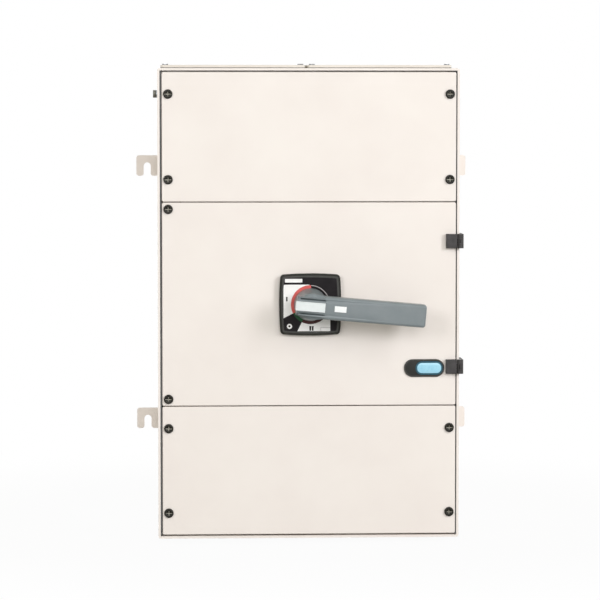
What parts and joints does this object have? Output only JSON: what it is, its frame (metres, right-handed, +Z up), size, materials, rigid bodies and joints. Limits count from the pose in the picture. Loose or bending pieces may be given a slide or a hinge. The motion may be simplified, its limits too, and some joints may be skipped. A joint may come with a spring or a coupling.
{
  "type": "manual changeover switch",
  "caption": "Wall-mounted sheet-steel changeover switch with a padlockable lever handle on a hinged door between screwed covers.",
  "frame": {"origin": "centre of the back face, on the wall plane, midway between the wall holes", "axes": "+Z up, +X to the right as seen from the front, -Y out of the wall towards the user"},
  "size_m": [0.444, 0.2778, 0.615],
  "materials": {
    "cream_paint": "smooth cream powder coat",
    "foam_rubber": "soft black foam",
    "black_steel": "blackened steel",
    "zinc_steel": "zinc plated",
    "hinge_grey": "dark grey cast metal",
    "moulded_case": "glass-filled moulding",
    "copper": "bright copper",
    "black_plastic": "black moulding",
    "grey_plastic": "satin grey moulding",
    "pale_plastic": "pale grey moulding",
    "white_label": "white label stock",
    "blue_inset": "pale blue print"
  },
  "bodies": {
    "enclosure": {"bottom_cover": "cream_paint", "bottom_cover_gasket": "foam_rubber", "bottom_gland_plate_left": "cream_paint", "bottom_gland_plate_right": "cream_paint", "cover_screws": "black_steel", "earth_bolt": "zinc_steel", "earth_nut_and_washers": "zinc_steel", "enclosure_body": "cream_paint", "front_end_plate": "moulded_case", "gland_gaskets": "foam_rubber", "gland_screws": "zinc_steel", "hinge_body_screws": "zinc_steel", "hinge_pins": "zinc_steel", "load_contacts": "copper", "load_links": "copper", "lower_cross_rail": "cream_paint", "lower_hinge_body_leaf": "hinge_grey", "mechanism_housing": "moulded_case", "mounting_plate": "zinc_steel", "plate_nuts": "zinc_steel", "plate_spacers": "zinc_steel", "pole_deck_1": "moulded_case", "pole_deck_2": "moulded_case", "pole_deck_3": "moulded_case", "pole_deck_4": "moulded_case", "rear_end_plate": "moulded_case", "rivet_nuts": "zinc_steel", "supply_one_contacts": "copper", "supply_two_contacts": "copper", "switch_screws": "zinc_steel", "switch_tie_bolts": "zinc_steel", "terminal_bolts": "zinc_steel", "top_cover": "cream_paint", "top_cover_gasket": "foam_rubber", "top_gland_plate_left": "cream_paint", "top_gland_plate_right": "cream_paint", "upper_cross_rail": "cream_paint", "upper_hinge_body_leaf": "hinge_grey"},
    "hinged_door": {"door": "cream_paint", "door_gasket": "foam_rubber", "door_screws": "black_steel", "upper_hinge_door_leaf": "hinge_grey", "lower_hinge_door_leaf": "hinge_grey", "hinge_door_screws": "zinc_steel", "door_badge": "black_plastic", "badge_inset": "blue_inset", "escutcheon": "black_plastic", "legend_plate": "black_plastic", "escutcheon_gasket": "foam_rubber", "escutcheon_screws": "zinc_steel"},
    "handle": {"lever_handle": "grey_plastic", "drive_socket": "black_plastic", "retaining_ring": "zinc_steel", "lever_label": "white_label"},
    "padlock_tab": {"padlock_slide": "pale_plastic"},
    "rotor": {"switch_shaft": "zinc_steel", "shaft_coupling": "zinc_steel", "extension_shaft": "zinc_steel", "contact_blades": "copper", "contact_carriers": "moulded_case"}
  },
  "joints": [
    {"name": "door_swing", "type": "hinge", "parent": "enclosure", "child": "hinged_door", "pos_m": [0.194, -0.2248, 0], "axis": [0, 0, 1], "range_deg": [0, 110]},
    {"name": "handle_turn", "type": "hinge", "parent": "hinged_door", "child": "handle", "pos_m": [0.0015, -0.24, 0], "axis": [0, -1, 0], "range_deg": [0, 100]},
    {"name": "rotor_turn", "type": "hinge", "parent": "enclosure", "child": "rotor", "pos_m": [0.0015, -0.1, 0], "axis": [0, -1, 0], "range_deg": [0, 100]},
    {"name": "padlock_tab_pull", "type": "slide", "parent": "handle", "child": "padlock_tab", "axis": [0, -1, 0], "range_m": [0, 0.01]}
  ],
  "couplings": [
    {"joint": "rotor_turn", "follows": "handle_turn", "ratio": 1}
  ]
}
